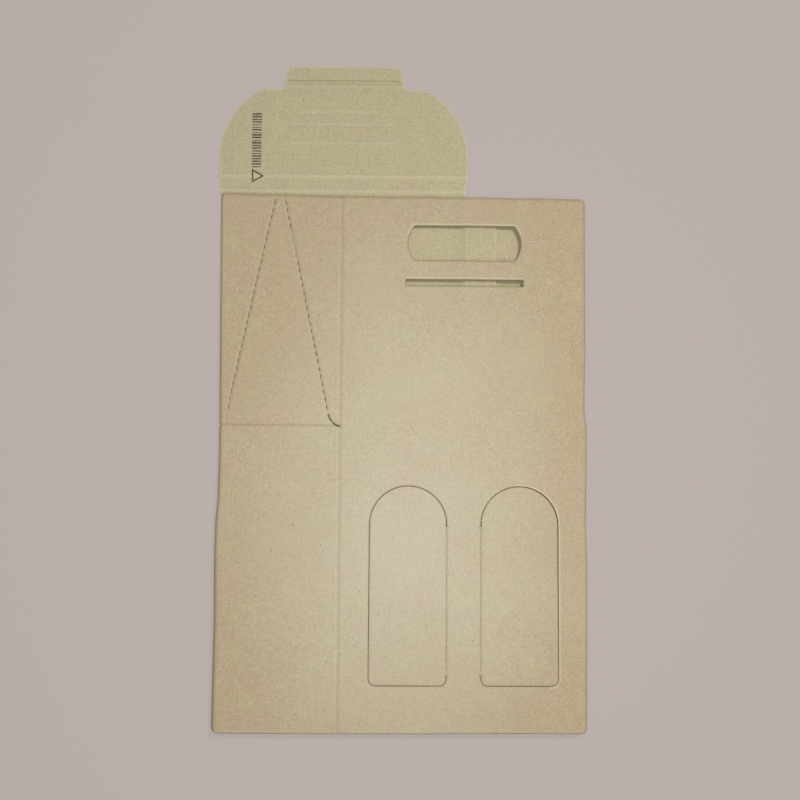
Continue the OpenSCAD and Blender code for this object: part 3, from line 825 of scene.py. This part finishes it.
def kraft(name, base, light, dark, grit, printed=False):
    """Kraft paper: warm stains, a painted shade that darkens it away from a lit middle, mottled pulp, fine
    grain, specks, and rims and creases painted pale or dark.
    """
    material = bpy.data.materials.new(name)
    material.use_nodes = True
    tree = material.node_tree
    shader = tree.nodes["Principled BSDF"]
    place = put(tree, "ShaderNodeTexCoord").outputs["Object"]
    place = put(tree, "ShaderNodeVectorMath", {0: place, "Scale": 1 / mm}, operation="SCALE")
    axes = put(tree, "ShaderNodeSeparateXYZ", {0: place}).outputs

    def noise(scale, detail, rough=0.5):
        return put(tree, "ShaderNodeTexNoise", {"Vector": place, "Scale": scale, "Detail": detail,
                                                "Roughness": rough}).outputs[0]

    def specks(scale):
        return put(tree, "ShaderNodeTexVoronoi", {"Vector": place, "Scale": scale}).outputs["Distance"]

    # Stains of about 90 mm, clouds of 20, lumps of pulp of 3, fibres and specks of 1, which are drawn
    # coarser than real ones so that they show
    stain, mottle = noise(0.011, 2.0), noise(0.05, 2.0)
    pulp, grain = noise(0.3, 2.0, 0.6), noise(0.8, 3.0, 0.7)
    # Tints along cuts and creases: partly pressed or torn paper, mostly painted highlight and painted shade
    wear_and_painted_light = put(tree, "ShaderNodeAttribute", attribute_name="wear_and_painted_light").outputs["Fac"]
    # Painted shade: darker away from a lit middle, 135 mm across, 275 mm up and 170 mm down, where the pool
    # of lamplight falls off, broken up a little by slow stains
    across = calc(tree, "DIVIDE", calc(tree, "SUBTRACT", axes["X"], middle_x + 8), 135)
    along = calc(tree, "SUBTRACT", axes["Y"], bottom_y + 130)
    along = calc(tree, "MAXIMUM", calc(tree, "DIVIDE", along, 275), calc(tree, "DIVIDE", along, -170))
    far = calc(tree, "MULTIPLY_ADD", across, across, calc(tree, "MULTIPLY", along, along))
    far = calc(tree, "SQRT", far)
    far = calc(tree, "MULTIPLY_ADD", calc(tree, "SUBTRACT", stain, 0.5), 0.5, far)
    colour, deep = paint(base), "#7A6B4E"
    for value, low, high, most, shade in (
            # First the painted shade of the falloff from the lit middle
            (far, 0.1, 1.05, 1.0, dark),
            (mottle, 0.5, 0.7, 0.16, "#C9A98E"), (mottle, 0.5, 0.3, 0.16, "#C4C090"),
            (pulp, 0.5, 0.8, 0.15, light), (pulp, 0.5, 0.2, 0.08, deep),
            (grain, 0.5, 0.8, grit, light), (grain, 0.5, 0.2, grit * 0.55, deep),
            (specks(0.09), 0.055, 0.035, 0.6, "#6E6450"), (specks(0.06), 0.03, 0.015, 0.7, "#E6DFC4"),
            # Last, pale for painted highlight or pressed paper, dark for painted shade
            (wear_and_painted_light, 0, 1, 0.85, "#E2DAC0"), (wear_and_painted_light, 0, -1, 0.85, "#7E6B49")):
        share = calc(tree, "MULTIPLY", share_of(tree, value, low, high), most)
        colour = mix_colour(tree, share, colour, paint(shade))
    if printed:
        ink = calc(tree, "MULTIPLY", share_of(tree, grain, 0.85, 0.5), 0.9)
        ink = calc(tree, "MULTIPLY", print_mask(tree, axes), ink)
        colour = mix_colour(tree, ink, colour, paint("#34392F"))
    tree.links.new(colour, shader.inputs["Base Color"])
    # Its relief, in millimetres
    flutes = calc(tree, "SINE", calc(tree, "MULTIPLY", axes["X"], 2 * math.pi / flute_pitch))
    height = calc(tree, "MULTIPLY_ADD", flutes, 0.015, calc(tree, "MULTIPLY", pulp, 0.08))
    height = calc(tree, "MULTIPLY_ADD", grain, 0.07, height)
    bump = put(tree, "ShaderNodeBump", {"Height": height, "Distance": mm, "Strength": 1.0})
    tree.links.new(bump.outputs[0], shader.inputs["Normal"])
    shader.inputs["Roughness"].default_value = 0.92
    shader.inputs["Specular IOR Level"].default_value = 0.25
    return material


outside_paper = kraft("kraft_liner_outside", "#C6BDA4", "#D8D0B8", "#B6A384", 0.5)
inside_paper = kraft("kraft_liner_inside", "#B9AF8D", "#C8C0A0", "#B9AF8D", 0.9)
lid_paper = kraft("kraft_liner_inside_printed", "#B9AF8D", "#C8C0A0", "#B9AF8D", 0.9, printed=True)
edge_paper = kraft("cut_edge_of_kraft_liner", "#D8CDB1", "#E2D9BE", "#C8BA98", 0.6)
flute_paper = kraft("fluted_kraft_medium", "#A8997A", "#B4A688", "#9C8E70", 0.6)


# Making pieces of the blank. Each is one closed mesh: both liners, and round every long cut the channel
# that is open between them, in which the fluted middle shows. Small slits have a plain edge.
cut_channel, strip_channel, long_cut = 1.6, 0.3, 30


def board_piece(name, outline, holes=(), spacing=4.5, sink=None, inner=inside_paper, channel=cut_channel):
    """Builds a piece from its outline and holes on the blank, and folds it up."""
    loops = [spread(loop, 2, True) for loop in (outline, *holes)]
    flat, triangles = triangulate(loops, spacing)
    outside, inside, *wear_and_painted_light = relief(flat)
    drop = sink(flat) if sink else 0
    count = len(flat)
    points = [np.column_stack([flat, board_t / 2 + outside - drop]),
              np.column_stack([flat, -board_t / 2 - inside - drop])]
    faces = [triangles, triangles[:, ::-1] + count]
    papers = [0] * len(triangles) + [1] * len(triangles)
    flat_faces, tints_per_point = [], wear_and_painted_light
    total = 2 * count
    rings, rims = rim_loops(triangles), []
    assert len(rings) == len(loops), name
    for ring in rings:
        path = flat[ring]
        ring = np.array(ring)
        is_long = np.linalg.norm(np.roll(path, -1, 0) - path, axis=1).sum() > long_cut
        rows = [ring]
        if is_long:
            rims.append(path)
            back = path + sideways(path, True) * channel
            top, low = points[0][ring, 2] - liner_t, points[1][ring, 2] + liner_t
            for spots, level in ((path, top), (back, top), (back, low), (path, low)):
                points.append(np.column_stack([spots, level]))
                rows.append(total + np.arange(len(ring)))
                total += len(ring)
                tints_per_point.append(np.zeros(len(ring)))
        rows.append(ring + count)
        for number, (p, q) in enumerate(zip(rows, rows[1:])):
            for i, j in zip(range(len(ring)), [*range(1, len(ring)), 0]):
                flat_faces.append((q[i], q[j], p[j], p[i]))
                papers.append(3 if 0 < number < 4 and is_long else 2)
    mesh = bpy.data.meshes.new(name)
    places = fold_up(np.concatenate(points))
    mesh.from_pydata(places.tolist(), [], np.concatenate(faces).tolist() + flat_faces)
    for paper in (outside_paper, inner, edge_paper, flute_paper):
        mesh.materials.append(paper)
    mesh.polygons.foreach_set("material_index", papers)
    # The tints of cuts and creases, mostly painted highlight and painted shade, go to the paper
    mesh.attributes.new("wear_and_painted_light", "FLOAT", "POINT").data.foreach_set("value", np.concatenate(tints_per_point))
    mesh.shade_smooth()
    mesh.set_sharp_from_angle(angle=math.radians(35))
    piece = bpy.data.objects.new(name, mesh)
    bpy.context.scene.collection.objects.link(piece)
    return piece, rims


# A flap's cut ends stay clear of its folding line, so that they don't cut into the panel as it opens
hinge_clearance = 0.5
window_holes = []
window_flaps = {}
window_strips = {}
for key, (x, side) in window_hinges.items():
    opening = window_cut(window_kerf / 2)
    notch = [(-hinge_half, hinge_high), (-hinge_half, hinge_low)]
    window_holes.append(at_hinge(opening + notch, (x, side)))
    flap = [(max(px, hinge_clearance), py) for px, py in window_cut(-window_kerf / 2)]
    flap += [(hinge_half, hinge_high), (hinge_half, hinge_low)]
    window_flaps[key] = at_hinge(flap, (x, side))
    low, high = hinge_low - seam_overlap, hinge_high + seam_overlap
    strip = [(-strip_half, low), (strip_half, low), (strip_half, high), (-strip_half, high)]
    window_strips[key] = at_hinge(strip, (x, side))


# What repeats along the cuts: the fluted middle of the board, seen wherever the knife went through, and
# the bruised lip round each slit of the perforations. Both are grown flat on the blank, then folded.
def new_tree(name, **inputs):
    """An empty geometry tree with its named inputs; returns it with its input and output nodes."""
    tree = bpy.data.node_groups.new(name, "GeometryNodeTree")
    tree.interface.new_socket("Geometry", in_out="INPUT", socket_type="NodeSocketGeometry")
    tree.interface.new_socket("Geometry", in_out="OUTPUT", socket_type="NodeSocketGeometry")
    for key, kind in inputs.items():
        tree.interface.new_socket(key.replace("_", " "), in_out="INPUT", socket_type="NodeSocket" + kind)
    return tree, put(tree, "NodeGroupInput").outputs, put(tree, "NodeGroupOutput")


def finish_tree(tree, shape, given, result):
    """Ends a geometry tree with real meshes, painted with the paper that it is given."""
    real = put(tree, "GeometryNodeRealizeInstances", {"Geometry": shape})
    painted = put(tree, "GeometryNodeSetMaterial", {"Geometry": real, "Material": given["Paper"]})
    tree.links.new(painted.outputs[0], result.inputs[0])
    return tree


def flute_tree():
    """Sweeps a thin ribbon along each cut, inwards from it, and waves it between the liners."""
    tree, given, result = new_tree("fluting", Pitch="Float", Wave_Height="Float", Depth="Float",
                                   Thickness="Float", Step="Float", Paper="Material")
    path = put(tree, "GeometryNodeResampleCurve", {"Curve": given["Geometry"], "Length": given["Step"]},
               mode="LENGTH")
    path = put(tree, "GeometryNodeSetCurveNormal", {"Curve": path}, mode="Z_UP")
    strip = put(tree, "GeometryNodeCurvePrimitiveQuadrilateral", {"Width": given["Depth"],
                                                                  "Height": given["Thickness"]})
    # A little more than half the depth, so that the ribbon stays behind the cut
    inwards = put(tree, "ShaderNodeCombineXYZ", {"X": calc(tree, "MULTIPLY", given["Depth"], -0.52)})
    strip = put(tree, "GeometryNodeTransform", {"Geometry": strip, "Translation": inwards})
    ribbon = put(tree, "GeometryNodeCurveToMesh", {"Curve": path, "Profile Curve": strip})
    across = put(tree, "ShaderNodeSeparateXYZ", {0: put(tree, "GeometryNodeInputPosition")})
    turn = calc(tree, "DIVIDE", calc(tree, "MULTIPLY", across.outputs["X"], 2 * math.pi), given["Pitch"])
    wave = calc(tree, "MULTIPLY", calc(tree, "SINE", turn), given["Wave Height"])
    wave = put(tree, "ShaderNodeCombineXYZ", {"Z": wave})
    ribbon = put(tree, "GeometryNodeSetPosition", {"Geometry": ribbon, "Offset": wave})
    return finish_tree(tree, ribbon, given, result)


def lip_tree():
    """Puts a small raised ring round each point of each line, turned along the line."""
    tree, given, result = new_tree("perforation", Slit="Float", Width="Float", Lip="Float",
                                   Unevenness="Float", Seed="Int", Paper="Material")
    long = calc(tree, "ADD", given["Slit"], given["Lip"])
    wide = calc(tree, "ADD", given["Width"], given["Lip"])
    ring = put(tree, "GeometryNodeCurvePrimitiveQuadrilateral", {"Width": long, "Height": wide})
    round_r = calc(tree, "MULTIPLY", wide, 0.49)
    ring = put(tree, "GeometryNodeFilletCurve", {"Curve": ring, "Count": 3, "Radius": round_r}, mode="POLY")
    edge_r = calc(tree, "MULTIPLY", given["Lip"], 0.5)
    edge = put(tree, "GeometryNodeCurvePrimitiveCircle", {"Resolution": 6, "Radius": edge_r})
    ring = put(tree, "GeometryNodeCurveToMesh", {"Curve": ring, "Profile Curve": edge})
    along = put(tree, "GeometryNodeInputTangent")
    turn = put(tree, "FunctionNodeAlignRotationToVector", {"Vector": along}, axis="X")
    size = tree.nodes.new("FunctionNodeRandomValue")
    size.data_type = "FLOAT"
    limits = {"Min_001": calc(tree, "SUBTRACT", 1.0, given["Unevenness"]),
              "Max_001": calc(tree, "ADD", 1.0, given["Unevenness"]), "Seed": given["Seed"]}
    for socket in size.inputs:
        if socket.identifier in limits:
            tree.links.new(limits[socket.identifier], socket)
    uneven = next(socket for socket in size.outputs if socket.identifier == "Value_001")
    size = put(tree, "ShaderNodeCombineXYZ", {"X": 1.0, "Y": uneven, "Z": uneven})
    rings = put(tree, "GeometryNodeInstanceOnPoints", {"Points": given["Geometry"], "Instance": ring,
                                                       "Rotation": turn, "Scale": size})
    return finish_tree(tree, rings, given, result)


def grow(name, tree, paths, closed, lift, sink=None, **inputs):
    """Runs a geometry tree on paths of the blank and folds up what it makes."""
    curve = bpy.data.curves.new(name, "CURVE")
    curve.dimensions = "3D"
    for path in paths:
        spline = curve.splines.new("POLY")
        spline.points.add(len(path) - 1)
        spline.points.foreach_set("co", [value for x, y in path for value in (x, y, 0, 1)])
        spline.use_cyclic_u = closed
    source = bpy.data.objects.new(name + "_paths", curve)
    bpy.context.scene.collection.objects.link(source)
    modifier = source.modifiers.new("grow", "NODES")
    modifier.node_group = tree
    for socket in tree.interface.items_tree:
        if socket.in_out == "INPUT" and socket.name != "Geometry":
            modifier[socket.identifier] = inputs[socket.name.replace(" ", "_")]
    bpy.context.view_layer.update()
    mesh = bpy.data.meshes.new_from_object(source.evaluated_get(bpy.context.evaluated_depsgraph_get()))
    bpy.data.objects.remove(source)
    places = np.empty(len(mesh.vertices) * 3)
    mesh.vertices.foreach_get("co", places)
    places = places.reshape(-1, 3)
    places[:, 2] += lift - (sink(places[:, :2]) if sink else 0)
    mesh.vertices.foreach_set("co", fold_up(places).ravel())
    mesh.update()
    mesh.shade_smooth()
    piece = bpy.data.objects.new(name, mesh)
    bpy.context.scene.collection.objects.link(piece)
    return piece


fluting, perforation = flute_tree(), lip_tree()


def flutes(name, rims, sink=None, channel=cut_channel):
    """The fluted middle along all the cut edges of one piece."""
    return grow(name + "_fluting", fluting, rims, True, 0, sink, Pitch=flute_pitch, Depth=channel - 0.1,
                Wave_Height=board_t / 2 - liner_t - 0.1, Thickness=0.18, Step=0.45, Paper=flute_paper)


# The folded tube: front, sides and back in one piece, with its glue flap and its four bottom flaps
# folded up inside. It is one sheet of board, so it is one mesh, with real holes for every cut.
tube_piece, rims = board_piece("folded_box", tube, [front_hole, back_hole, tuck_slot, *window_holes,
                                                    *left_slits, *right_slits])
tube_flutes = flutes("folded_box", rims)

# The lips of the slits lie mostly in the outer liner, and a hair to the left on the left panel
lip_depth, lip_shift = 0.12, 0.15
slit_rows = [[(left_side_mid + side * x - lip_shift, y) for x, y in slit_spots] for side in (-1, 1)]
slit_rows += [[(under(right_side_mid + side * x, y, 1), y) for x, y in slit_spots] for side in (-1, 1)]
tube_lips = grow("perforation_lips", perforation, slit_rows, False, board_t / 2 - lip_depth,
                 Slit=3.0, Width=0.75, Lip=0.45, Unevenness=0.2, Seed=7, Paper=edge_paper)
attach(tube_piece, "folded_tube")
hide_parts("box_body")
for piece in (tube_flutes, tube_lips):
    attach(piece, "folded_tube")


# The lid, opened out: a narrow spine, the rounded panel and the tuck tab, which show their inside. Each
# hangs on its own body, and a strip of board lies over each crease between the two pieces beside it.
for name, outline, body, node in (("lid_spine_board", spine, "spine", "lid_spine"),
                                  ("lid_board", lid, "lid", "lid_panel"),
                                  ("tuck_tab_board", tab, "tab", "tuck_tab")):
    piece, rims = board_piece(name, on_back(outline), inner=lid_paper)
    for part in (piece, flutes(name, rims)):
        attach(part, body)
    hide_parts(node)


def crease_strip(name, outline, at, step, inner=inside_paper):
    """The strip of board over a crease, with its fluting, fixed in place where it lies."""
    # Its channel is shallow, because its groove is pressed deep
    piece, rims = board_piece(name, outline, spacing=2, inner=inner, channel=strip_channel)
    at, step = Vector(at), Vector(step) * 0.9 * mm
    for part in (piece, flutes(name, rims, channel=strip_channel)):
        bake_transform(part)


for name, outline, joint in (
        ("spine_crease", lid_band(spine_crease - strip_half, spine_crease + strip_half), "spine_fold"),
        ("lid_crease", lid_band(lid_crease - strip_half, lid_crease + strip_half), "lid_fold"),
        ("tab_crease", tab_strip, "tab_fold")):
    crease_strip(name, on_back(outline), joints[joint]["pos_m"], (0, 1, 0), lid_paper)


# The window flaps: two arches cut from the front panel, each still held at one side by its crease. They
# lie in their openings, and the right one has sunk a little at its free side.
for key, (x, side) in window_hinges.items():
    depth = {"left": 0.15, "right": 1.2}[key]

    def sink(flat):
        return depth * ease((flat[:, 0] - x) * side / window_w) * ease((flat[:, 1] - 66) / 60)

    piece, rims = board_piece(key + "_window_board", window_flaps[key], sink=sink)
    for part in (piece, flutes(key + "_window_board", rims, sink)):
        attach(part, key + "_window")
    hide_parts("window_flap_" + key)
    crease_strip(key + "_window_crease", window_strips[key],
                 joints[key + "_window_fold"]["pos_m"], (side, 0, 0))
